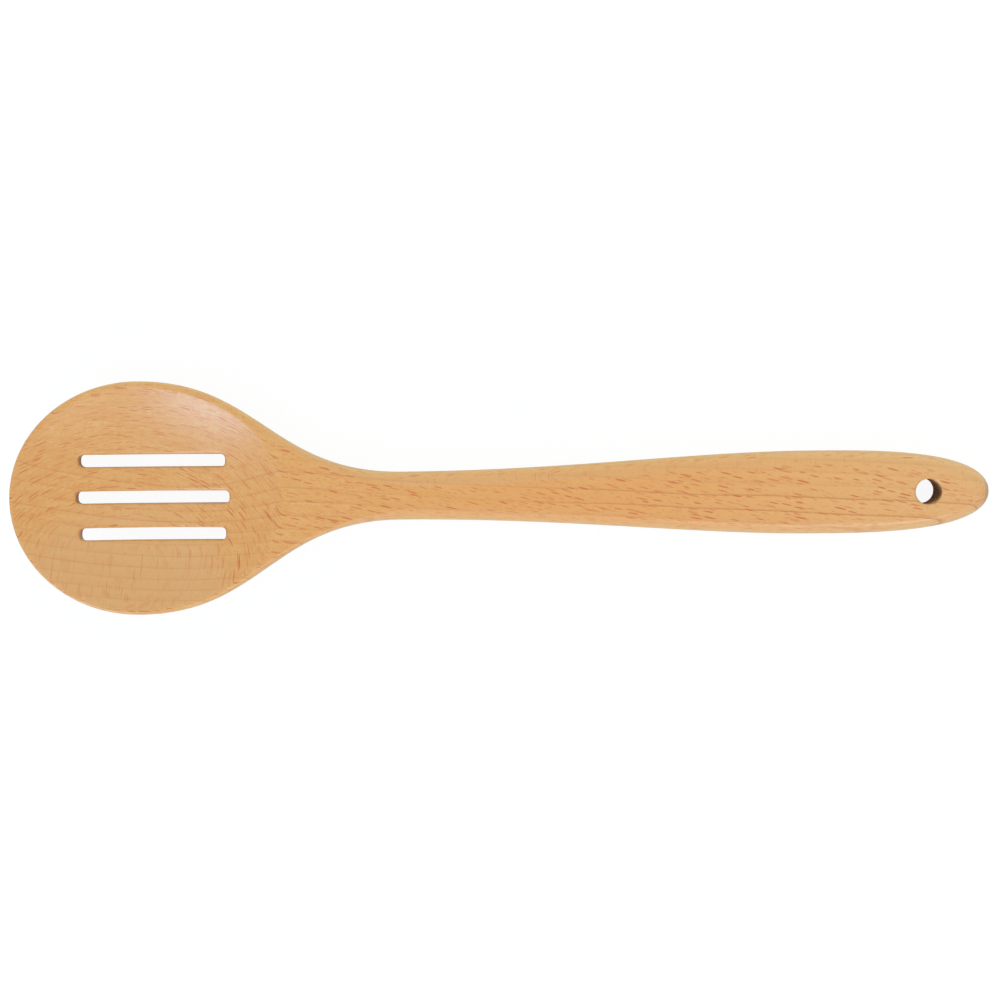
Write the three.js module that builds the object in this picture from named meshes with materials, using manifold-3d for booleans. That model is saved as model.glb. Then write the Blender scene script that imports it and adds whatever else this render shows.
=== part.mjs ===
// Wooden slotted spoon, carved from one blank of beech: an oval bowl with a dished face and three
// draining slots, a slim neck, and a wide flat-faced handle with bull-nosed sides and a hanging hole.
// Millimetres. It is shaped with its flat face at z = 0 and the tip of the bowl at x = 0, and then
// laid face up on a worktop at z = 0, resting on the back of the bowl and the end of the handle.
import * as THREE from "three";
import { LoftGeometry } from "three/addons/geometries/LoftGeometry.js";
import { mergeVertices } from "three/addons/utils/BufferGeometryUtils.js";
import Module from "manifold-3d";

// Plan view: lengths run from the tip of the bowl along the spoon.
const OVERALL_LENGTH = 305;
const BOWL_WIDTH = 72.6;
const BOWL_WIDEST_AT = 39.8;
const SHOULDER_FULLNESS = 37.8;
const NECK_WIDTH = 15;
const NECK_AT = 120.8;
const NECK_FLARE = 39.8;
const NECK_RUN = 52.5;
const GRIP_WIDTH = 26;
const GRIP_FROM_END = 56.2;
const GRIP_RUN = 36.4;
const END_FULLNESS = 16.4;
const END_BLUNTNESS = 13.8;

// Thicknesses, measured down from the face.
const HANDLE_THICKNESS = 13;
const NECK_THICKNESS = 12;
const FLOOR_THICKNESS = 4.9;
const RIM_THICKNESS = 3;

// Sides: how far in from the outline the bull nose starts to round the edge at the tip of the bowl, on
// the rest of the bowl, at the foot of the shoulder and on the handle, and the runs between these.
const TIP_NOSE = 0.45;
const BOWL_NOSE = 2.2;
const SHOULDER_NOSE = 1.2;
const HANDLE_NOSE = 4.4;
const TIP_NOSE_UNTIL = 20;
const BOWL_NOSE_RUN = 35;
const SHOULDER_NOSE_RUN = 28;
const HANDLE_NOSE_RUN = 30;
const HANDLE_NOSE_PAST_NECK = 7.2;

// Dish: a shallow paraboloid sunk into the face, inside a narrow rim.
const DISH_DEPTH = 11.5;
const DISH_BACK_AT = 84.5;
const TIP_RIM = 0.55;
const SIDE_RIM = 1.1;

// Back of the bowl: powers that set how full its dome is along and across, how far along the
// shoulder the dome starts to turn into the neck, and how much is sanded flat where it rests.
const DOME_ALONG = 0.7;
const DOME_ACROSS = 0.8;
const DOME_ENDS = 0.25;
const REST_FLAT_DEPTH = 0.4;

// Slots and hanging hole.
const SLOT_WIDTH = 4.1;
const SLOT_PITCH = 11.5;
const SLOT_CORNER = 1.1;
const SLOT_CENTRE_AT = 43.3;
const MIDDLE_SLOT_LENGTH = 48;
const OUTER_SLOT_LENGTH = 45.7;
const HOLE_DIAMETER = 8;
const HOLE_FROM_END = 19.9;

// Facets: sections along the four stretches of the outline, points round a section, cutter sides.
const TIP_SECTIONS = 14;
const SHOULDER_SECTIONS = 20;
const HANDLE_SECTIONS = 12;
const END_SECTIONS = 14;
const NOSE_STEPS = 4;
const BACK_STEPS = 6;
const DISH_RINGS = 12;
const DISH_SIDES = 64;
const CORNER_STEPS = 4;
const HOLE_SIDES = 40;

// How far a cutter runs past the faces that it goes through, and corners this close are one corner.
const CUT_OVERRUN = 5;
const WELD = 1e-4;

const wasm = await Module();
wasm.setup();

const lerp = THREE.MathUtils.lerp;
const smoothstep = THREE.MathUtils.smoothstep;
const bowlDepth = DISH_DEPTH + FLOOR_THICKNESS;
const dishCentreAt = (TIP_RIM + DISH_BACK_AT) / 2;

// The four stretches of half the plan outline, from the tip round one side to the end of the handle.
function outlineStretches() {
  const gripAt = OVERALL_LENGTH - GRIP_FROM_END;
  const bowl = BOWL_WIDTH / 2;
  const neck = NECK_WIDTH / 2;
  const grip = GRIP_WIDTH / 2;
  const tip = new THREE.EllipseCurve(BOWL_WIDEST_AT, 0, BOWL_WIDEST_AT, bowl, Math.PI, Math.PI / 2, true);
  const shoulder = new THREE.CubicBezierCurve(
    new THREE.Vector2(BOWL_WIDEST_AT, bowl),
    new THREE.Vector2(BOWL_WIDEST_AT + SHOULDER_FULLNESS, bowl),
    new THREE.Vector2(NECK_AT - NECK_FLARE, neck),
    new THREE.Vector2(NECK_AT, neck),
  );
  const handle = new THREE.CubicBezierCurve(
    new THREE.Vector2(NECK_AT, neck),
    new THREE.Vector2(NECK_AT + NECK_RUN, neck),
    new THREE.Vector2(gripAt - GRIP_RUN, grip),
    new THREE.Vector2(gripAt, grip),
  );
  const end = new THREE.CubicBezierCurve(
    new THREE.Vector2(gripAt, grip),
    new THREE.Vector2(gripAt + END_FULLNESS, grip),
    new THREE.Vector2(OVERALL_LENGTH, END_BLUNTNESS),
    new THREE.Vector2(OVERALL_LENGTH, 0),
  );
  return [
    { curve: tip, steps: TIP_SECTIONS },
    { curve: shoulder, steps: SHOULDER_SECTIONS },
    { curve: handle, steps: HANDLE_SECTIONS },
    { curve: end, steps: END_SECTIONS },
  ];
}

function noseAt(x) {
  const handleNoseFrom = NECK_AT + HANDLE_NOSE_PAST_NECK;
  const shoulderNoseAt = handleNoseFrom - HANDLE_NOSE_RUN;
  const bowlShare = smoothstep(x, TIP_NOSE_UNTIL, TIP_NOSE_UNTIL + BOWL_NOSE_RUN);
  const shoulderShare = smoothstep(x, shoulderNoseAt - SHOULDER_NOSE_RUN, shoulderNoseAt);
  const handleShare = smoothstep(x, shoulderNoseAt, handleNoseFrom);
  const beforeHandle = lerp(lerp(TIP_NOSE, BOWL_NOSE, bowlShare), SHOULDER_NOSE, shoulderShare);
  return lerp(beforeHandle, HANDLE_NOSE, handleShare);
}

function handleThicknessAt(x) {
  const along = THREE.MathUtils.clamp((x - NECK_AT) / (OVERALL_LENGTH - NECK_AT), 0, 1);
  return lerp(NECK_THICKNESS, HANDLE_THICKNESS, along);
}

// Depth of the dome on the centre line, below the widest level of the rim.
function domeDepthAt(x) {
  const full = bowlDepth - RIM_THICKNESS;
  if (x < dishCentreAt) {
    const ahead = (dishCentreAt - x) / dishCentreAt;
    return full * Math.pow(1 - ahead * ahead, DOME_ALONG);
  }
  return lerp(full, NECK_THICKNESS - RIM_THICKNESS, smoothstep(x, dishCentreAt, NECK_AT));
}

// Points down one side, from the edge of the face out to the widest level and under to the middle.
// The nose stands square to the outline, so it runs round both ends; the back runs straight across.
function halfSection(point, normal) {
  const nose = noseAt(point.x);
  const thickness = handleThicknessAt(point.x);
  const domeFrom = lerp(BOWL_WIDEST_AT, NECK_AT, DOME_ENDS);
  const handleShare = smoothstep(point.x, domeFrom, NECK_AT);
  const widestLevel = lerp(RIM_THICKNESS, thickness / 2, handleShare);
  const points = [];
  for (let i = 0; i <= NOSE_STEPS; i++) {
    const turn = (i / NOSE_STEPS) * (Math.PI / 2);
    const plan = point.clone().addScaledVector(normal, -nose * (1 - Math.sin(turn)));
    points.push(new THREE.Vector3(plan.x, plan.y, -widestLevel * (1 - Math.cos(turn))));
  }
  const underSteps = NOSE_STEPS + BACK_STEPS;
  const innerEdge = point.clone().addScaledVector(normal, -nose);
  for (let i = 1; i <= underSteps; i++) {
    const turn = (i / underSteps) * (Math.PI / 2);
    const domeLevel = RIM_THICKNESS + domeDepthAt(point.x) * Math.pow(Math.sin(turn), 2 * DOME_ACROSS);
    const dome = new THREE.Vector3(point.x, i < underSteps ? point.y * Math.cos(turn) : 0, -domeLevel);
    const noseTurn = Math.min(i / NOSE_STEPS, 1) * (Math.PI / 2);
    const across = Math.max(i - NOSE_STEPS, 0) / BACK_STEPS;
    const plan = point.clone().addScaledVector(normal, -nose * (1 - Math.cos(noseTurn)));
    const flatY = across > 0 ? innerEdge.y * (1 - across) : plan.y;
    const flat = new THREE.Vector3(plan.x, flatY, -(thickness / 2) * (1 + Math.sin(noseTurn)));
    points.push(dome.lerp(flat, handleShare));
  }
  return points;
}

// A ring round the spoon: over the face from one side to the other, and back underneath.
function ringSection(point, normal) {
  const half = halfSection(point, normal);
  const mirrored = half.map((p) => new THREE.Vector3(p.x, -p.y, p.z));
  const under = half.slice(0, -1).reverse();
  return [...mirrored, ...under];
}

function spoonBlank() {
  const sections = [];
  outlineStretches().forEach(({ curve, steps }, stretch) => {
    for (let i = stretch ? 1 : 0; i <= steps; i++) {
      const point = curve.getPointAt(i / steps);
      const tangent = curve.getTangentAt(i / steps);
      const normal = new THREE.Vector2(-tangent.y, tangent.x);
      const atAnEnd = point.y < WELD;
      if (atAnEnd) {
        point.y = 0;
        normal.set(Math.sign(normal.x), 0);
      }
      sections.push(ringSection(point, normal));
    }
  });
  return solidFrom(new LoftGeometry(sections));
}

// A closed solid from a geometry, with its seams welded and its collapsed triangles left out.
function solidFrom(geometry) {
  const bare = new THREE.BufferGeometry();
  bare.setAttribute("position", geometry.attributes.position);
  bare.setIndex(geometry.index);
  const merged = mergeVertices(bare, WELD);
  const corners = merged.index.array;
  const triangles = [];
  for (let i = 0; i < corners.length; i += 3) {
    const [a, b, c] = corners.slice(i, i + 3);
    if (a !== b && b !== c && c !== a) triangles.push(a, b, c);
  }
  return new wasm.Manifold(
    new wasm.Mesh({
      numProp: 3,
      vertProperties: Float32Array.from(merged.attributes.position.array),
      triVerts: Uint32Array.from(triangles),
    }),
  );
}

function geometryFrom(solid) {
  const mesh = solid.getMesh();
  const geometry = new THREE.BufferGeometry();
  geometry.setAttribute("position", new THREE.BufferAttribute(mesh.vertProperties, 3));
  geometry.setIndex(new THREE.BufferAttribute(mesh.triVerts, 1));
  return geometry;
}

// The dish's cutter: a paraboloid that carries on above the face.
function dishCutter() {
  const rise = Math.sqrt(1 + CUT_OVERRUN / DISH_DEPTH);
  const profile = [];
  for (let i = 0; i <= DISH_RINGS; i++) {
    const radius = (rise * i) / DISH_RINGS;
    profile.push(new THREE.Vector2(radius, DISH_DEPTH * (radius * radius - 1)));
  }
  profile.push(new THREE.Vector2(0, CUT_OVERRUN));
  const cutter = new THREE.LatheGeometry(profile, DISH_SIDES);
  cutter.rotateX(Math.PI / 2);
  cutter.scale((DISH_BACK_AT - TIP_RIM) / 2, BOWL_WIDTH / 2 - SIDE_RIM, 1);
  cutter.translate(dishCentreAt, 0, 0);
  return solidFrom(cutter);
}

// A slot's cutter: a rectangle with rounded corners, straight through the bowl.
function slotCutter(length, y) {
  const x = length / 2 - SLOT_CORNER;
  const inner = SLOT_WIDTH / 2 - SLOT_CORNER;
  const quarter = Math.PI / 2;
  const shape = new THREE.Shape();
  shape.absarc(x, inner, SLOT_CORNER, 0, quarter);
  shape.absarc(-x, inner, SLOT_CORNER, quarter, 2 * quarter);
  shape.absarc(-x, -inner, SLOT_CORNER, 2 * quarter, 3 * quarter);
  shape.absarc(x, -inner, SLOT_CORNER, 3 * quarter, 4 * quarter);
  const depth = bowlDepth + 2 * CUT_OVERRUN;
  const cutter = new THREE.ExtrudeGeometry(shape, { depth, bevelEnabled: false, curveSegments: CORNER_STEPS });
  cutter.translate(SLOT_CENTRE_AT, y, -bowlDepth - CUT_OVERRUN);
  return solidFrom(cutter);
}

function holeCutter() {
  const radius = HOLE_DIAMETER / 2;
  const depth = HANDLE_THICKNESS + 2 * CUT_OVERRUN;
  const cutter = new THREE.CylinderGeometry(radius, radius, depth, HOLE_SIDES);
  cutter.rotateX(Math.PI / 2);
  cutter.translate(OVERALL_LENGTH - HOLE_FROM_END, 0, -HANDLE_THICKNESS / 2);
  return solidFrom(cutter);
}

// Lays the spoon on the worktop, so that the lower edge of the handle's end and the back of the bowl
// come down together, and sands the back of the bowl flat there.
function laidDown(solid) {
  const edgeAt = OVERALL_LENGTH - HANDLE_NOSE;
  const drop = bowlDepth - REST_FLAT_DEPTH - HANDLE_THICKNESS;
  const tilt = Math.atan2(drop, edgeAt - dishCentreAt);
  const spoon = geometryFrom(solid);
  spoon.translate(-edgeAt, 0, HANDLE_THICKNESS);
  spoon.rotateY(tilt);
  const depth = bowlDepth;
  const worktop = new THREE.BoxGeometry(2 * OVERALL_LENGTH, 2 * BOWL_WIDTH, depth);
  worktop.translate(-edgeAt / 2, 0, -depth / 2);
  return geometryFrom(solidFrom(spoon).subtract(solidFrom(worktop)));
}

const cutters = [
  dishCutter(),
  slotCutter(OUTER_SLOT_LENGTH, SLOT_PITCH),
  slotCutter(MIDDLE_SLOT_LENGTH, 0),
  slotCutter(OUTER_SLOT_LENGTH, -SLOT_PITCH),
  holeCutter(),
];
const carved = cutters.reduce((wood, cutter) => wood.subtract(cutter), spoonBlank());
const spoonGeometry = laidDown(carved);

// The origin is under the middle of the spoon, on the worktop.
spoonGeometry.computeBoundingBox();
const middle = spoonGeometry.boundingBox.getCenter(new THREE.Vector3());
spoonGeometry.translate(-middle.x, -middle.y, -spoonGeometry.boundingBox.min.z);
spoonGeometry.computeVertexNormals();

const beech = new THREE.MeshStandardMaterial({ color: 0xdca76a, roughness: 0.6, metalness: 0 });
const spoon = new THREE.Mesh(spoonGeometry, beech);
spoon.name = "spoon";

const slottedSpoon = new THREE.Group();
slottedSpoon.name = "wooden_slotted_spoon";
slottedSpoon.add(spoon);

export default slottedSpoon;
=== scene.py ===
# %% [markdown]
# # A wooden slotted spoon
#
# The real thing is one piece of beech: an oval bowl with a dished face and three draining slots, a slim
# neck, and a flat-faced handle with a hole to hang it by. Everything that makes it look like wood sits
# in two places, the soft sanded shape and the figure of the timber, so this lesson models the first
# with mesh operators and the second as a solid texture that runs right through the piece.
#
# The imported model is loaded first, and its meshes are brought into the world frame.

# %% Load the imported spoon
import math
import bmesh
import bpy
from mathutils import Matrix, Vector
from mathutils.geometry import interpolate_bezier


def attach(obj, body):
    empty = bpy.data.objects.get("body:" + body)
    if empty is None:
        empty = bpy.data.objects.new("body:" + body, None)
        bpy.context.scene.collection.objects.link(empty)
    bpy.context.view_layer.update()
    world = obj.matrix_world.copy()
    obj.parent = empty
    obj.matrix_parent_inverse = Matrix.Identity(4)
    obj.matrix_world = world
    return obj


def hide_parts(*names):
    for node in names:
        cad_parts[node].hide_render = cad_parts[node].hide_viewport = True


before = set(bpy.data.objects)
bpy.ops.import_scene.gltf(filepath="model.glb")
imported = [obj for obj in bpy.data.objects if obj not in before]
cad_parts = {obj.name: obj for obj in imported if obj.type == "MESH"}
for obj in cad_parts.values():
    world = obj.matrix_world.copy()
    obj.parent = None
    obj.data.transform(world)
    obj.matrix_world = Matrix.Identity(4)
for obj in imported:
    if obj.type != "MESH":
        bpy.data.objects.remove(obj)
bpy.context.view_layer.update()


print("packed nodes:", sorted(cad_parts))

# %% [markdown]
# ## The outline
#
# Seen from above, the spoon is a half oval at the tip and then three long curves: over the shoulder
# into the neck, out along the handle to the grip, and round the end. A carver would cut this line on
# the bandsaw. It could be traced with many points, but an oval and three Bezier curves hold the same
# line in about a dozen numbers, and their handles keep it smooth where they meet. Lengths are millimetres
# from the tip of the bowl, and widths are half widths.

# %% Draw half the outline
LENGTH = 305.0
BOWL_HALF, BOWL_WIDEST = 36.3, 39.8
NECK_HALF, NECK_AT = 7.5, 120.8
GRIP_HALF, GRIP_AT = 13.0, 248.8
TIP_POINTS = 80
# Each curve has its start, the reach of its two handles, its end and its number of points.
CURVES = (
    ((BOWL_WIDEST, BOWL_HALF), (37.8, 0), (-39.8, 0), (NECK_AT, NECK_HALF), 100),
    ((NECK_AT, NECK_HALF), (52.5, 0), (-36.4, 0), (GRIP_AT, GRIP_HALF), 90),
    ((GRIP_AT, GRIP_HALF), (16.4, 0), (0, 13.8), (LENGTH, 0), 80),
)

outline = []
for i in range(TIP_POINTS):
    turn = math.pi / 2 * i / (TIP_POINTS - 1)
    outline.append(Vector((BOWL_WIDEST * (1 - math.cos(turn)), BOWL_HALF * math.sin(turn), 0)))
for start, leave, arrive, end, count in CURVES:
    pull_start = (start[0] + leave[0], start[1] + leave[1])
    pull_end = (end[0] + arrive[0], end[1] + arrive[1])
    knots = [Vector((x, y, 0)) for x, y in (start, pull_start, pull_end, end)]
    outline += interpolate_bezier(*knots, count)[1:]
print("outline points:", len(outline))

# %% [markdown]
# ## Square to the outline
#
# The sides of the real spoon are rounded square to its outline, also where this turns round the tip and
# the end. So every point needs the direction that leads straight out of the wood. It could be worked out
# from the formulas of the curves, but the two neighbours of a point give it just as well. At both ends
# the other half of the outline joins on, so there it points along the spoon.

# %% Find the outward directions
last = len(outline) - 1
outward = []
for i in range(len(outline)):
    heading = outline[min(i + 1, last)] - outline[max(i - 1, 0)]
    outward.append(Vector((-heading.y, heading.x, 0)).normalized())
outward[0], outward[-1] = Vector((-1, 0, 0)), Vector((1, 0, 0))
outline[0].y = outline[-1].y = 0
print("outward directions:", len(outward))

# %% [markdown]
# ## The dish and the face
#
# The face is flat along the handle and hollowed in the bowl. The hollow is a shallow bowl of the kind a
# round cutter leaves, so a paraboloid fits it. It could be sculpted by eye, but a formula keeps to its
# depth. Where it meets the flat face the real edge has been sanded, and a soft maximum of the two depths
# gives that rounded lip without any bevel.

# %% Describe the face
DISH_DEPTH, TIP_RIM, SIDE_RIM, DISH_BACK = 11.5, 0.55, 1.1, 84.5
DISH_CENTRE = (TIP_RIM + DISH_BACK) / 2
DISH_LONG = (DISH_BACK - TIP_RIM) / 2
DISH_WIDE = BOWL_HALF - SIDE_RIM
LIP_SOFT, LIP_SOFTER_BY, LIP_SOFTENS = 0.1, 0.05, (50, 80)
# Where the hollow is this many times deeper than the softness, it is taken as it is.
WELL_INSIDE = 20


def ease(x, low, high):
    """Goes smoothly from 0 at low to 1 at high."""
    t = min(max((x - low) / (high - low), 0), 1)
    return t * t * (3 - 2 * t)


def face_height(x, y):
    hollow = DISH_DEPTH * (1 - ((x - DISH_CENTRE) / DISH_LONG) ** 2 - (y / DISH_WIDE) ** 2)
    softness = LIP_SOFT + LIP_SOFTER_BY * ease(x, *LIP_SOFTENS)
    if hollow > WELL_INSIDE * softness:
        return -hollow
    return -softness * math.log1p(math.exp(hollow / softness))


print("dish, mm: %.1f by %.1f, %.1f deep" % (2 * DISH_LONG, 2 * DISH_WIDE, DISH_DEPTH))

# %% [markdown]
# ## Thickness and noses
#
# The handle is a little thinner than the bowl is deep, and the rim of the bowl is thin. The sides are
# bull-nosed, a quarter of an oval above and another below, wide on the handle and nearly sharp at the
# tip. Under the bowl the back is a dome that turns into the flat back of the handle. Each of these could
# be set at a few stations and joined by eye. Small functions of the place along the spoon are easier to
# check, and they stay smooth at any number of points.

# %% Describe the back and the sides
HANDLE_THICK, NECK_THICK, RIM_THICK, FLOOR_THICK = 13.0, 12.0, 3.0, 4.9
BOWL_DEPTH = DISH_DEPTH + FLOOR_THICK
DOME_FULLNESS = 0.7
TIP_NOSE, BOWL_NOSE, SHOULDER_NOSE, HANDLE_NOSE = 0.45, 2.2, 1.2, 4.4
NOSE_WIDENS = (20, 55)
SHOULDER_FOOT, SHOULDER_RUN, NECK_RUN = NECK_AT - 22.8, 28, 30
NECK_STARTS = BOWL_WIDEST + 0.25 * (NECK_AT - BOWL_WIDEST)


def nose_width(x):
    nose = TIP_NOSE + (BOWL_NOSE - TIP_NOSE) * ease(x, *NOSE_WIDENS)
    nose += (SHOULDER_NOSE - nose) * ease(x, SHOULDER_FOOT - SHOULDER_RUN, SHOULDER_FOOT)
    return nose + (HANDLE_NOSE - nose) * ease(x, SHOULDER_FOOT, SHOULDER_FOOT + NECK_RUN)


def dome_depth(x):
    full = BOWL_DEPTH - RIM_THICK
    if x < DISH_CENTRE:
        return full * (1 - ((DISH_CENTRE - x) / DISH_CENTRE) ** 2) ** DOME_FULLNESS
    return full + (NECK_THICK - BOWL_DEPTH) * ease(x, DISH_CENTRE, NECK_AT)


def thickness(x):
    return NECK_THICK + (HANDLE_THICK - NECK_THICK) * max(x - NECK_AT, 0) / (LENGTH - NECK_AT)


def neckness(x):
    """0 on the bowl and 1 from the neck on."""
    return ease(x, NECK_STARTS, NECK_AT)


print("bowl depth, mm: %.1f, handle: %.1f" % (BOWL_DEPTH, thickness(LENGTH)))

# %% [markdown]
# ## Rolling a sheet round the spoon
#
# A shape like this could be lofted from many separate rings. A flat grid is simpler: one direction of
# the grid runs along the outline, the other goes round the spoon from the middle of the back, over
# one side, across the face and under again. Each grid point is moved to its place, and merging the
# points that then coincide closes the seam and both ends. The upper half comes first: the face, and
# then the nose from the edge of the face out to the widest line.

# %% Place the points of the upper half
FACE_SHARE, NOSE_SHARE = 0.44, 0.56


def top_point(point, normal, way):
    """A point of the upper half: way 0 is the middle of the face, NOSE_SHARE the widest line."""
    nose = nose_width(point.x)
    edge = point - normal * nose
    if way <= FACE_SHARE:
        y = edge.y * math.sin(math.pi / 2 * way / FACE_SHARE)
        return Vector((edge.x, y, face_height(edge.x, y)))
    level = (way - FACE_SHARE) / (NOSE_SHARE - FACE_SHARE)
    turn = level * math.pi / 2
    bulged = point - normal * nose * (1 - math.sin(turn))
    top = face_height(edge.x, edge.y) * (1 - level) ** 2
    widest = RIM_THICK + (thickness(point.x) / 2 - RIM_THICK) * neckness(point.x)
    return Vector((bulged.x, bulged.y, top - widest * (1 - math.cos(turn))))


middle_of_dish = top_point(Vector((DISH_CENTRE, BOWL_HALF, 0)), Vector((0, 1, 0)), 0)
print("middle of the dish, mm: %.1f" % middle_of_dish.z)

# %% [markdown]
# ## The lower half
#
# The photo shows only the face. Spoons of this kind have a smooth dome under the bowl and a flat back
# under the handle, with the lower quarter of the nose at its sides. Two separate backs could be joined at
# the neck, but the joint would show as a crease. So both are worked out for every point, and the result
# slides from the one to the other along the shoulder.

# %% Place the points of the lower half
DOME_ROUNDNESS, UNDER_NOSE = 1.6, 0.4


def back_point(point, normal, way):
    """A point of the lower half: NOSE_SHARE is the widest line, way 1 the middle of the back."""
    under = (way - NOSE_SHARE) / (1 - NOSE_SHARE)
    turn = under * math.pi / 2
    dome = Vector((point.x, point.y * math.cos(turn),
                   -RIM_THICK - dome_depth(point.x) * math.sin(turn) ** DOME_ROUNDNESS))
    nose_turn = min(under / UNDER_NOSE, 1) * math.pi / 2
    across = max(under - UNDER_NOSE, 0) / (1 - UNDER_NOSE)
    flat = point - normal * nose_width(point.x) * (1 - math.cos(nose_turn))
    flat.y *= 1 - across
    flat.z = -thickness(point.x) / 2 * (1 + math.sin(nose_turn))
    return dome.lerp(flat, neckness(point.x))


lowest = back_point(Vector((DISH_CENTRE, BOWL_HALF, 0)), Vector((0, 1, 0)), 1)
print("middle of the back, mm: %.1f" % lowest.z)

# %% [markdown]
# ## The blank
#
# At this stage a real spoon is a blank: carved to its shape, with no slots and no hole. Points and faces
# could be built one by one. Blender's own grid already has the faces, so only the points have to move,
# and what lies on the seam and at both ends is welded.

# %% Shape the blank
ROUND_STEPS = 240
WELD_WITHIN, SPLINTER = 0.002, 0.001
wood = bmesh.new()
bmesh.ops.create_grid(wood, x_segments=last, y_segments=ROUND_STEPS, size=1)
for vert in wood.verts:
    station = round((vert.co.x + 1) / 2 * last)
    way = abs(vert.co.y)
    half = top_point if way <= NOSE_SHARE else back_point
    place = half(outline[station], outward[station], way)
    vert.co = (place.x, math.copysign(place.y, vert.co.y), place.z)
bmesh.ops.remove_doubles(wood, verts=wood.verts, dist=WELD_WITHIN)
bmesh.ops.dissolve_degenerate(wood, edges=wood.edges, dist=SPLINTER)
bmesh.ops.recalc_face_normals(wood, faces=wood.faces)
print("blank:", len(wood.faces), "faces, open edges:", sum(not e.is_manifold for e in wood.edges))

# %% [markdown]
# ## Slots and hanging hole
#
# The slots are routed straight through the floor of the bowl with a small cutter, which leaves rounded
# corners, and the hole is drilled. Their edges could be knitted into the grid, but a cut is simpler and
# is how they are really made. So solids of the same shape are used: boxes whose upright edges are
# bevelled, and a cylinder. They go into one cutting mesh, so one Boolean does it all. The photo shows
# slots a little under four millimetres wide, so they are cut at 3.9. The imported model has 4.1, because
# an opening that is stated there has to stay clear of the wood around it.

# %% Make the cutters
SLOT_CUT, SLOT_PITCH, SLOT_CENTRE, SLOT_CORNER = 3.9, 11.5, 43.3, 1.1
SLOT_LENGTHS = {-1: 45.7, 0: 48.0, 1: 45.7}
HOLE_RADIUS, HOLE_FROM_END = 4, 19.9
CUTTER_TALL, CORNER_STEPS, HOLE_STEPS = 40, 8, 96

cutters = bmesh.new()
for row, slot_length in SLOT_LENGTHS.items():
    slot = bmesh.new()
    bmesh.ops.create_cube(slot, size=1)
    bmesh.ops.scale(slot, vec=(slot_length, SLOT_CUT, CUTTER_TALL), verts=slot.verts)
    corners = [e for e in slot.edges if abs(e.verts[0].co.z - e.verts[1].co.z) > 1]
    bmesh.ops.bevel(slot, geom=corners, offset=SLOT_CORNER, offset_type='OFFSET', affect='EDGES',
                    segments=CORNER_STEPS, profile=0.5, material=-1)
    bmesh.ops.translate(slot, vec=(SLOT_CENTRE, row * SLOT_PITCH, -BOWL_DEPTH / 2), verts=slot.verts)
    slot_mesh = bpy.data.meshes.new("slot_cutter")
    slot.to_mesh(slot_mesh)
    cutters.from_mesh(slot_mesh)
    slot.free()
bmesh.ops.create_cone(cutters, cap_ends=True, segments=HOLE_STEPS, radius1=HOLE_RADIUS,
                      radius2=HOLE_RADIUS, depth=CUTTER_TALL,
                      matrix=Matrix.Translation((LENGTH - HOLE_FROM_END, 0, -HANDLE_THICK / 2)))
print("cutters:", len(cutters.faces), "faces")

# %% [markdown]
# ## Laid on the worktop
#
# So far the face is level at height nought. At rest the spoon lies on the back of its bowl and the
# lower edge of the handle's end, which tips it by less than a degree. The object could be turned, but a
# finished piece stays unturned at the origin, so its points are moved. The same matrix lays down the
# wood and its cutters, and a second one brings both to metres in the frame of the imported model.

# %% Lay the spoon down
REST_FLAT = 0.4
METRES = 0.001
edge_at = LENGTH - HANDLE_NOSE
tilt = math.atan2(BOWL_DEPTH - REST_FLAT - HANDLE_THICK, edge_at - DISH_CENTRE)
lay = Matrix.Rotation(tilt, 4, 'Y') @ Matrix.Translation((-edge_at, 0, HANDLE_THICK))
for mesh in (wood, cutters):
    bmesh.ops.transform(mesh, matrix=lay, verts=mesh.verts)
reach = [v.co.x for v in wood.verts]
middle = (min(reach) + max(reach)) / 2
to_frame = Matrix.Scale(METRES, 4) @ Matrix.Translation((-middle, 0, 0))
for mesh in (wood, cutters):
    bmesh.ops.transform(mesh, matrix=to_frame, verts=mesh.verts)
print("tilt: %.2f degrees" % math.degrees(tilt))

# %% [markdown]
# ## Cutting and sanding
#
# After the cut, a wooden spoon is sanded all over, so no edge stays keen. Bevelling every edge of a cut
# mesh is fragile. Remeshing the whole solid at just over half a millimetre and smoothing it a little does
# what sandpaper does: it breaks every edge by the same small amount, and leaves even faces.

# %% Cut and sand
SANDING_GRAIN = 0.00058
SANDING_FACTOR, SANDING_PASSES = 0.5, 2


def as_object(name, source):
    mesh = bpy.data.meshes.new(name)
    source.to_mesh(mesh)
    source.free()
    made = bpy.data.objects.new(name, mesh)
    bpy.context.scene.collection.objects.link(made)
    return made


spoon = as_object("beech_spoon", wood)
cutter = as_object("slot_and_hole_cutter", cutters)
cut = spoon.modifiers.new("cut", 'BOOLEAN')
cut.operation, cut.solver, cut.object = 'DIFFERENCE', 'MANIFOLD', cutter
sand = spoon.modifiers.new("sand", 'REMESH')
sand.mode, sand.voxel_size = 'VOXEL', SANDING_GRAIN
ease_off = spoon.modifiers.new("ease", 'SMOOTH')
ease_off.factor, ease_off.iterations = SANDING_FACTOR, SANDING_PASSES
evaluated = spoon.evaluated_get(bpy.context.evaluated_depsgraph_get())
finished = bpy.data.meshes.new_from_object(evaluated)
print("sanded:", len(finished.polygons), "faces")
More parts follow.
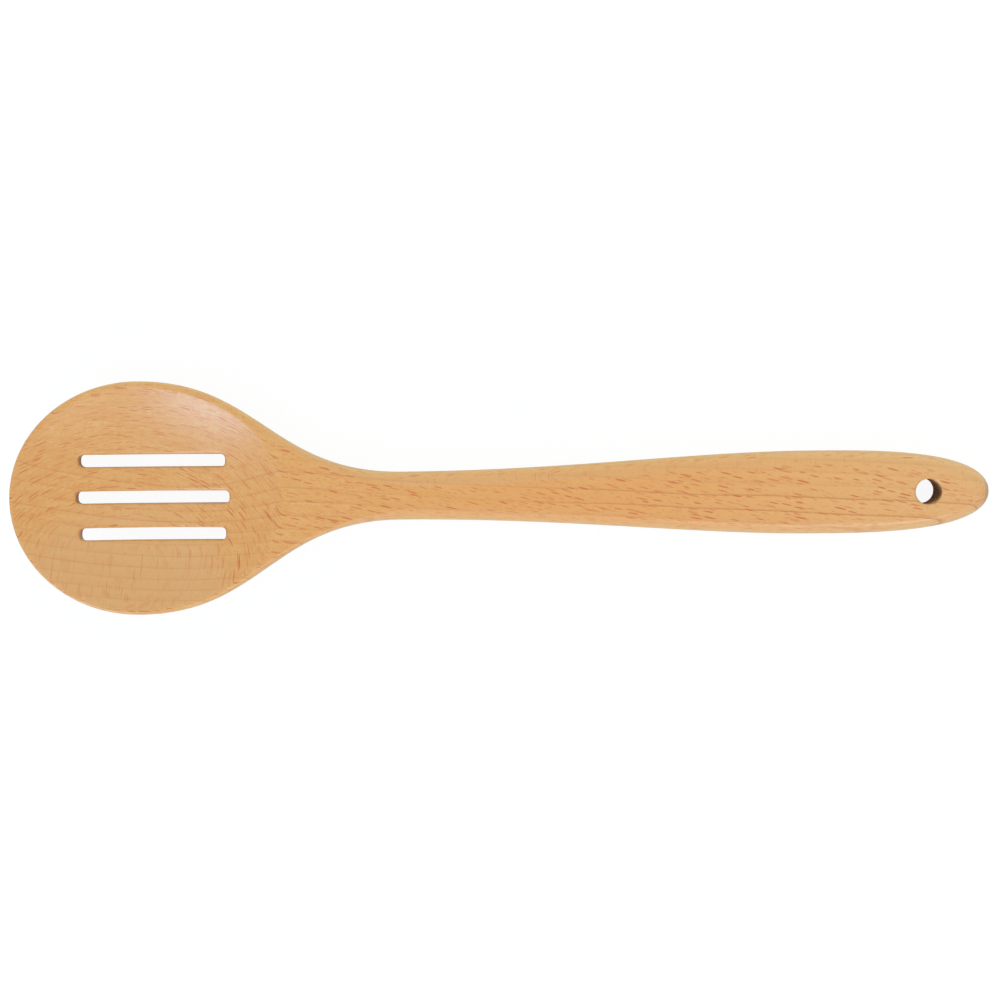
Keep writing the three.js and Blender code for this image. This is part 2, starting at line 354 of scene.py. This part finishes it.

# %% [markdown]
# ## The finished piece
#
# The photo doesn't show the back of the bowl. A small flat is assumed there, as if it had been sanded to
# lie still. It could be cut with another Boolean. Here it comes by itself, since every point that would
# dip below the worktop is lifted to it. The new mesh then stands for the imported spoon: it rides on the
# same body, while the imported solid is hidden and only serves the simulation.

# %% Finish the mesh and hand it to its body
spoon.modifiers.clear()
spoon.data = finished
bpy.data.objects.remove(cutter)
for vertex in finished.vertices:
    vertex.co.z = max(vertex.co.z, 0)
finished.polygons.foreach_set("use_smooth", [True] * len(finished.polygons))

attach(spoon, "root")
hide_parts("spoon")
print("spoon:", len(finished.polygons), "faces")

# %% [markdown]
# ## Beech
#
# Beech is known by its rays: thin ribbons of reddish tissue that run from the heart of the tree to the
# bark. Cut across, each one is a short dark dash along the grain, and cut lengthwise it is a broad
# fleck. Growth rings add long faint lines. All this could be painted on a flat picture, but that would
# bend wrongly over the dish. So the figure is a solid texture, and every surface cuts through the same
# timber. It takes many small shader nodes, and a few helpers keep their wiring short.

# %% Start the beech
beech = bpy.data.materials.new("beech")
beech.use_nodes = True
tree = beech.node_tree
finish = tree.nodes["Principled BSDF"]


def step(kind, inputs, into=tree, **settings):
    """Adds a node, to the beech unless another tree is named, and links or fills its inputs."""
    made = into.nodes.new("ShaderNode" + kind)
    for name, value in settings.items():
        setattr(made, name, value)
    for name, value in inputs.items():
        if isinstance(value, bpy.types.NodeSocket):
            into.links.new(value, made.inputs[name])
        else:
            made.inputs[name].default_value = value
    return made.outputs


def vector_step(operation, first, second):
    return step("VectorMath", {0: first, 1: second}, operation=operation)["Vector"]


def number_step(operation, first, second=0.0, **settings):
    return step("Math", {0: first, 1: second}, operation=operation, **settings)["Value"]


def ramp(value, low, high, at_low=0.0, at_high=1.0, **settings):
    """Goes from at_low to at_high while the value goes from low to high, and is level outside."""
    ends = {"Value": value, "From Min": low, "From Max": high, "To Min": at_low, "To Max": at_high}
    return step("MapRange", ends, **settings)["Result"]


def noise(source, scale, detail, roughness=0.5):
    """Noise with its own scale in each direction."""
    scaled = vector_step('MULTIPLY', source, scale)
    return step("TexNoise", {"Vector": scaled, "Scale": 1.0, "Detail": detail, "Roughness": roughness})


print("beech started with", len(tree.nodes), "nodes")

# %% [markdown]
# ## Along, round and out
#
# In a trunk the natural directions are along the grain, round the trunk and out from its heart. A spoon
# is sawn from the board at a slant to all three. The mesh could be turned to suit the texture, but it has
# to stay where it is, so the coordinates are turned instead, and bent a little as real grain is. That
# alone makes the dashes lean one way on the left of the dish, the other way on the right, and stretch
# out below the slots.

# %% Turn the coordinates to the timber
GRAIN_TURN = (0, math.radians(-4.4), math.radians(4.9))
HEART_TURN = (math.radians(-65), 0, 0)
PER_METRE = (1000, 1000, 1000)
# Where the middle of the spoon lies in the timber, in millimetres.
IN_THE_TRUNK = (400, 300, 500)
DRIFT_SCALE, DRIFT_REACH = (0.012, 0.04, 0.04), (0, 2.5, 4.0)

surface = step("TexCoord", {})
millimetres = step("Mapping", {"Vector": surface["Object"], "Scale": PER_METRE,
                               "Rotation": GRAIN_TURN})["Vector"]
straight = step("Mapping", {"Vector": millimetres, "Rotation": HEART_TURN,
                            "Location": IN_THE_TRUNK})["Vector"]
drift = noise(straight, DRIFT_SCALE, detail=1.0)["Color"]
bend = vector_step('MULTIPLY', vector_step('SUBTRACT', drift, (0.5, 0.5, 0.5)), DRIFT_REACH)
timber = vector_step('ADD', straight, bend)
print("timber coordinates: along the grain, round the trunk, out from its heart")

# %% [markdown]
# ## Which way a surface faces
#
# Wood looks different where it is cut across the grain, as in the bore, and where a cut lies along the
# rays, which then show only as faint hatching. These places could be marked by hand on the mesh. The
# surface normal already knows them: turned like the coordinates, it tells how far a surface faces along
# the grain or round the trunk. Unturned, it finds the steep sides.

# %% Read the direction of the surface
facing = surface["Normal"]
for turn in (GRAIN_TURN, HEART_TURN):
    facing = step("Mapping", {"Vector": facing, "Rotation": turn}, vector_type='VECTOR')["Vector"]
facing = step("VectorMath", {0: facing}, operation='ABSOLUTE')["Vector"]
faced = step("SeparateXYZ", {"Vector": facing})
end_grain = ramp(faced["X"], 0.55, 1.0)
broadside = ramp(faced["Y"], 0.905, 0.96)
# The steepness mask carries painted light onto the sides further on.
upright = step("SeparateXYZ", {"Vector": surface["Normal"]})["Z"]
steep = ramp(number_step('ABSOLUTE', upright), 0.8, 0.25)
print("masks: end grain, broadside of the rays, steep sides")

# %% [markdown]
# ## Rays
#
# A ray is a flat ellipsoid: up to five millimetres along the grain, about a quarter of a millimetre thick
# and several millimetres deep. A stretched noise would also give dashes, but only soft ones. A Voronoi
# texture scatters one point in every cell, and its Position output says where the point is, so the
# distance to it can be measured with a different scale in each direction. The cell's random colour makes
# some rays strong and others faint. Long, short and very fine rays are laid over each other.

# %% Scatter the rays
SOLID_WITHIN, SMALLEST = 0.7, 1.6
WEIGHT_RANGE = (0.05, 0.9)


def rays(spacing, size, shift):
    """How dark the rays of one size are: spacing and half sizes in millimetres."""
    moved = vector_step('ADD', timber, shift)
    cells = vector_step('DIVIDE', moved, spacing)
    scatter = step("TexVoronoi", {"Vector": cells, "Scale": 1.0, "Randomness": 1.0})
    away = vector_step('SUBTRACT', cells, scatter["Position"])
    stretch = tuple(a / b for a, b in zip(spacing, size))
    shaped = vector_step('MULTIPLY', away, stretch)
    far = step("VectorMath", {0: shaped}, operation='LENGTH')["Value"]
    chance = step("SeparateColor", {"Color": scatter["Color"]})
    smaller = ramp(chance["Green"], 0.0, 1.0, 1.0, SMALLEST)
    core = ramp(number_step('MULTIPLY', far, smaller), 1.0, SOLID_WITHIN,
                interpolation_type='SMOOTHSTEP')
    return number_step('MULTIPLY', core, ramp(chance["Red"], *WEIGHT_RANGE))


long_rays = rays(spacing=(4.0, 0.6, 6.6), size=(2.6, 0.14, 4.4), shift=(0, 0, 0))
short_rays = rays(spacing=(2.1, 0.48, 4.2), size=(1.4, 0.105, 2.4), shift=(71, 33, 57))
fine_rays = rays(spacing=(1.0, 0.5, 9.0), size=(0.22, 0.2, 4.6), shift=(19, 83, 41))
print("rays scattered in three sizes")

# %% [markdown]
# ## Rings
#
# A ring is one year's growth. It darkens slowly towards autumn and stops at a thin line, so it is a
# saw-tooth along the way out from the heart. Lines could be drawn one by one, but a saw-tooth follows
# the dish and the handle alike. One year is wider than the rest, since the two bold lines on the handle
# stand further apart than those in the bowl.

# %% Lay down the rings
RING_PITCH, RING_START = 3.55, 499.78
WIDE_YEAR, WIDER_BY = (503.6, 507.0), 0.7

outwards = step("SeparateXYZ", {"Vector": timber})["Z"]
wide_year = ramp(outwards, *WIDE_YEAR, 0.0, WIDER_BY)
grown = number_step('SUBTRACT', number_step('SUBTRACT', outwards, wide_year), RING_START)
season = number_step('FRACT', number_step('DIVIDE', grown, RING_PITCH))
late = ramp(season, 0.35, 0.93)
line = ramp(season, 0.84, 0.95)
print("rings %.2f mm apart" % RING_PITCH)

# %% [markdown]
# ## Fibres, and where the lines are bold
#
# Between the rings run fine fibres and broad soft streaks, and the fibres break the ring lines up. They
# could be combed by hand, but noise that is stretched along the grain has the same look. Not all ring
# lines are equally strong. A slow noise makes some fainter, and two on the handle are bold, so their
# zone is marked by its place along the grain and out from the heart, in millimetres of the timber.

# %% Break up and weight the ring lines
STRENGTH_SCALE, FIBRE_SCALE, STREAK_SCALE = (0.015, 0.05, 0.22), (0.9, 3.0, 3.0), (0.02, 0.55, 0.55)
HANDLE_ZONE, FADES_IN, FADES_OUT = (380.0, 440.0), (499.5, 502.5), (509.5, 508.5)

along = step("SeparateXYZ", {"Vector": timber})["X"]
on_handle = ramp(along, *HANDLE_ZONE)
some = ramp(noise(timber, STRENGTH_SCALE, detail=0.0)["Fac"], 0.35, 0.65, 0.25, 0.55)
inner = ramp(outwards, *FADES_IN, 0.2, 1.0)
bold = number_step('MAXIMUM', some, number_step('MULTIPLY', ramp(outwards, *FADES_OUT), on_handle))
fibres = noise(timber, FIBRE_SCALE, detail=3.0, roughness=0.7)["Fac"]
broken = ramp(fibres, 0.35, 0.6, 0.5, 1.0)
drawn = number_step('MULTIPLY', line, broken)
ring_line = number_step('MULTIPLY', drawn, number_step('MULTIPLY', inner, bold))
streaks = noise(timber, STREAK_SCALE, detail=3.0, roughness=0.6)["Fac"]
print("fibres and streaks between the rings")

# %% [markdown]
# ## The ground colour
#
# The colour is built up as the wood is. Its ground is a pale pinkish tan, deeper where streaks and fibres
# run, and along the handle it turns a little warmer and then paler towards the end. One flat colour with
# a noise over it would be quicker, but these layers keep their places on the spoon.

# %% Mix the ground colour
PALE, DEEP = (0.775, 0.437, 0.16, 1), (0.705, 0.31, 0.082, 1)
WARMED, END_PALER = (0.80, 0.33, 0.093, 1), (0.79, 0.44, 0.187, 1)
WARM_ZONE, PALE_ZONE, ZONE_DEPTH = (310.0, 390.0), (440.0, 545.0), 0.6


def tint(amount, under, over):
    return step("Mix", {0: amount, 6: under, 7: over}, data_type='RGBA')[2]


colour = tint(ramp(streaks, 0.3, 0.72), PALE, DEEP)
colour = tint(ramp(fibres, 0.39, 0.63), colour, DEEP)
colour = tint(ramp(along, *WARM_ZONE, 0.0, ZONE_DEPTH), colour, WARMED)
# The handle turns paler towards its end.
colour = tint(ramp(along, *PALE_ZONE, 0.0, ZONE_DEPTH), colour, END_PALER)
print("ground colour mixed")

# %% [markdown]
# ## Faces, rings and rays
#
# Where the dish is cut along the rays, the wood is a little duller. The steep sides are painted paler and
# less red: this is painted light, in place of the light that they catch. Over both lie the late wood and
# ring lines, and the reddish brown rays. The end grain is dark: a little of this is the real end grain,
# and the rest is painted shade, weaker at the ends of the slots and strongest on the handle, in the bore.
# These could be separate materials on separate faces, but real wood has no such borders. So one colour is
# tinted again and again, each time by one of the masks.

# %% Tint by faces, rings and rays
# The side colour is painted light for the steep sides. The end-grain colour is partly real end grain and
# partly painted shade in the bore and at the ends of the slots.
RADIAL_FACE, SIDE_PAINTED_LIGHT = (0.71, 0.38, 0.165, 1), (0.70, 0.435, 0.175, 1)
LATE_WOOD, RING_LINE = (0.68, 0.31, 0.10, 1), (0.56, 0.175, 0.056, 1)
RAY, END_GRAIN_AND_SHADE = (0.59, 0.135, 0.036, 1), (0.18, 0.08, 0.025, 1)
BARKWARD = (492.0, 506.0)
SIDE_LIGHT_DEPTH, LATE_DEPTH, LINE_DEPTH, SHORT_DEPTH, LONG_DEPTH = 0.65, 0.25, 0.8, 0.48, 0.95

barkward = ramp(outwards, *BARKWARD, 0.2, 0.65)
colour = tint(number_step('MULTIPLY', broadside, barkward), colour, RADIAL_FACE)
# Painted light: the steep sides turn paler and less red.
colour = tint(number_step('MULTIPLY', steep, SIDE_LIGHT_DEPTH), colour, SIDE_PAINTED_LIGHT)
colour = tint(number_step('MULTIPLY', late, LATE_DEPTH), colour, LATE_WOOD)
colour = tint(number_step('MULTIPLY', ring_line, LINE_DEPTH), colour, RING_LINE)
clear = ramp(broadside, 0.0, 1.0, 1.0, 0.22)
hatch = ramp(broadside, 0.0, 1.0, 0.28, 0.45)
colour = tint(number_step('MULTIPLY', fine_rays, hatch), colour, RAY)
for flecks, depth in ((short_rays, SHORT_DEPTH), (long_rays, LONG_DEPTH)):
    shown = number_step('MULTIPLY', number_step('MULTIPLY', flecks, depth), clear)
    colour = tint(shown, colour, RAY)
# Painted shade in the bore and at the slot ends, over the slightly darker real end grain.
end_shade_depth = ramp(on_handle, 0.0, 1.0, 0.35, 0.8)
colour = tint(number_step('MULTIPLY', end_grain, end_shade_depth), colour, END_GRAIN_AND_SHADE)
tree.links.new(colour, finish.inputs["Base Color"])
print("colour layers:", sum(node.bl_idname == "ShaderNodeMix" for node in tree.nodes))

# %% [markdown]
# ## Polish
#
# Sanded beech with a little oil is nearly matt, but it still gives a soft sheen where a curved part faces
# a window. A coat layer could give that sheen, but it would look varnished. So the roughness of the wood
# itself stays below a half, and the fibres break it up. A very slight bump lets the rays catch the light.

# %% Set the polish and the relief
SMOOTHEST, ROUGHEST, SHINE = 0.33, 0.44, 0.65
FIBRE_RELIEF, BUMP_STRENGTH, BUMP_DISTANCE = 0.5, 0.25, 0.00003

tree.links.new(ramp(fibres, 0.25, 0.75, SMOOTHEST, ROUGHEST), finish.inputs["Roughness"])
finish.inputs["Specular IOR Level"].default_value = SHINE
relief = number_step('SUBTRACT', number_step('MULTIPLY', fibres, FIBRE_RELIEF), long_rays)
bump = step("Bump", {"Height": relief, "Strength": BUMP_STRENGTH, "Distance": BUMP_DISTANCE})["Normal"]
tree.links.new(bump, finish.inputs["Normal"])
spoon.data.materials.clear()
spoon.data.materials.append(beech)
print("beech nodes:", len(tree.nodes))

# %% [markdown]
# ## White sheet
#
# The spoon lies on a plain white sheet. Lamps alone could make the sheet white, but they would bleach
# the wood too. So for the camera the sheet is mostly bright by itself: it stays white in the slots and
# still keeps a soft shadow. It lies a hair below the spoon, so that the two never share a surface.

# %% Spread the white sheet
SHEET_HALF, SHEET_DROP = 4, 0.0002
PAPER, PAPER_ROUGHNESS = (0.8, 0.8, 0.8, 1), 0.9
GLOW, GLOW_SHARE = 1.04, 0.89

sheet = bmesh.new()
bmesh.ops.create_grid(sheet, x_segments=1, y_segments=1, size=SHEET_HALF)
bmesh.ops.translate(sheet, vec=(0, 0, -SHEET_DROP), verts=sheet.verts)
floor = as_object("white_sheet", sheet)
white = bpy.data.materials.new("white_sheet")
white.use_nodes = True
sheet_tree = white.node_tree
paper = sheet_tree.nodes["Principled BSDF"]
paper.inputs["Base Color"].default_value = PAPER
paper.inputs["Roughness"].default_value = PAPER_ROUGHNESS
glow = step("Emission", {"Strength": GLOW}, into=sheet_tree)["Emission"]
seen = step("LightPath", {}, into=sheet_tree)["Is Camera Ray"]
share = number_step('MULTIPLY', seen, GLOW_SHARE, into=sheet_tree)
both = step("MixShader", {0: share, 1: paper.outputs["BSDF"], 2: glow}, into=sheet_tree)["Shader"]
sheet_tree.links.new(both, sheet_tree.nodes["Material Output"].inputs["Surface"])
floor.data.materials.append(white)
print("sheet nodes:", len(sheet_tree.nodes))

# %% [markdown]
# ## Sky
#
# The photo has no hard shadows, as in a studio with white walls all round. The walls could be built as
# panels. An even sky does the same with less effort and less noise, and a colour then comes out about as
# it is written. Its light is dimmer than its mirror image, so that the lamps still count and the polish
# keeps its shine.

# %% Light the sky
SKY_LIGHT, SKY_MIRRORED = 0.67, 1.0

sky = bpy.data.worlds.new("studio")
sky.use_nodes = True
bpy.context.scene.world = sky
sky_tree = sky.node_tree
background = sky_tree.nodes["Background"]
background.inputs["Color"].default_value = (1, 1, 1, 1)
path = step("LightPath", {}, into=sky_tree)
either = number_step('MAXIMUM', path["Is Camera Ray"], path["Is Glossy Ray"], into=sky_tree)
strength = ramp(either, 0.0, 1.0, SKY_LIGHT, SKY_MIRRORED, into=sky_tree)
sky_tree.links.new(strength, background.inputs["Strength"])
print("sky nodes:", len(sky_tree.nodes))

# %% [markdown]
# ## Lamps
#
# Two soft windows on the near side give the shine. The left one is wide and low, so it makes a pale band
# under the far rim of the bowl, and the right one shines along the lower edge of the grip. One very wide
# lamp could do both, but it would also draw a line along the middle of the handle, where the photo has
# none. A third lamp on the far side only fills. It is kept out of reflections, because the far edge of
# the handle is soft in the photo. All three have a cool tint, as daylight has.

# %% Hang the lamps
def soft_lamp(name, place, size, power, tone):
    """An area lamp that looks at the origin: size in metres, power in watts."""
    lamp = bpy.data.lights.new(name, 'AREA')
    lamp.shape = 'RECTANGLE'
    lamp.size, lamp.size_y = size
    lamp.energy, lamp.color = power, tone
    made = bpy.data.objects.new(name, lamp)
    made.location = place
    made.rotation_euler = made.location.to_track_quat('Z', 'Y').to_euler()
    bpy.context.scene.collection.objects.link(made)
    return made


soft_lamp("near_left", (-0.75, -1.02, 0.605), size=(0.75, 0.18), power=7.4, tone=(0.60, 0.99, 1.40))
soft_lamp("near_right", (0.43, -1.18, 0.61), size=(0.35, 0.3), power=4.0, tone=(0.74, 0.93, 0.86))
fill = soft_lamp("far_side", (0.2, 1.25, 0.62), size=(0.9, 0.7), power=9.0, tone=(0.68, 1.04, 1.04))
fill.visible_glossy = False
print("lamps:", [lamp.name for lamp in bpy.data.lights])

# %% [markdown]
# ## Camera
#
# The camera looks almost straight down. Its height follows from the hanging hole: the lower rim of the
# bore is shifted towards the middle of the picture, and the nearer the camera, the larger the shift. It
# leans by two and a half degrees, since a little more of the handle's far side shows than of the near
# side. Turning the spoon instead would do the same, but the spoon stays square in its frame.

# %% Set up the camera
# One pixel of the photo covers this many metres at the height AIM_Z.
PIXEL, PICTURE_PIXELS = 0.0003117, 1000
HEIGHT, LEAN, TWIST = 0.64, math.radians(2.5), -0.0083
AIM_X, AIM_Y, AIM_Z = -0.0003, -0.0016, 0.010
SENSOR, NEAREST, FARTHEST = 36, 0.01, 20

lens = bpy.data.cameras.new("overhead")
lens.sensor_width, lens.lens = SENSOR, SENSOR * HEIGHT / (PICTURE_PIXELS * PIXEL)
lens.clip_start, lens.clip_end = NEAREST, FARTHEST
eye = bpy.data.objects.new("overhead", lens)
eye.location = (AIM_X, AIM_Y + HEIGHT * math.tan(LEAN), HEIGHT + AIM_Z)
eye.rotation_euler = (-LEAN, 0, TWIST)
bpy.context.scene.collection.objects.link(eye)
bpy.context.scene.camera = eye
bpy.context.scene.view_settings.view_transform = 'Standard'
print("lens: %.1f mm" % lens.lens)
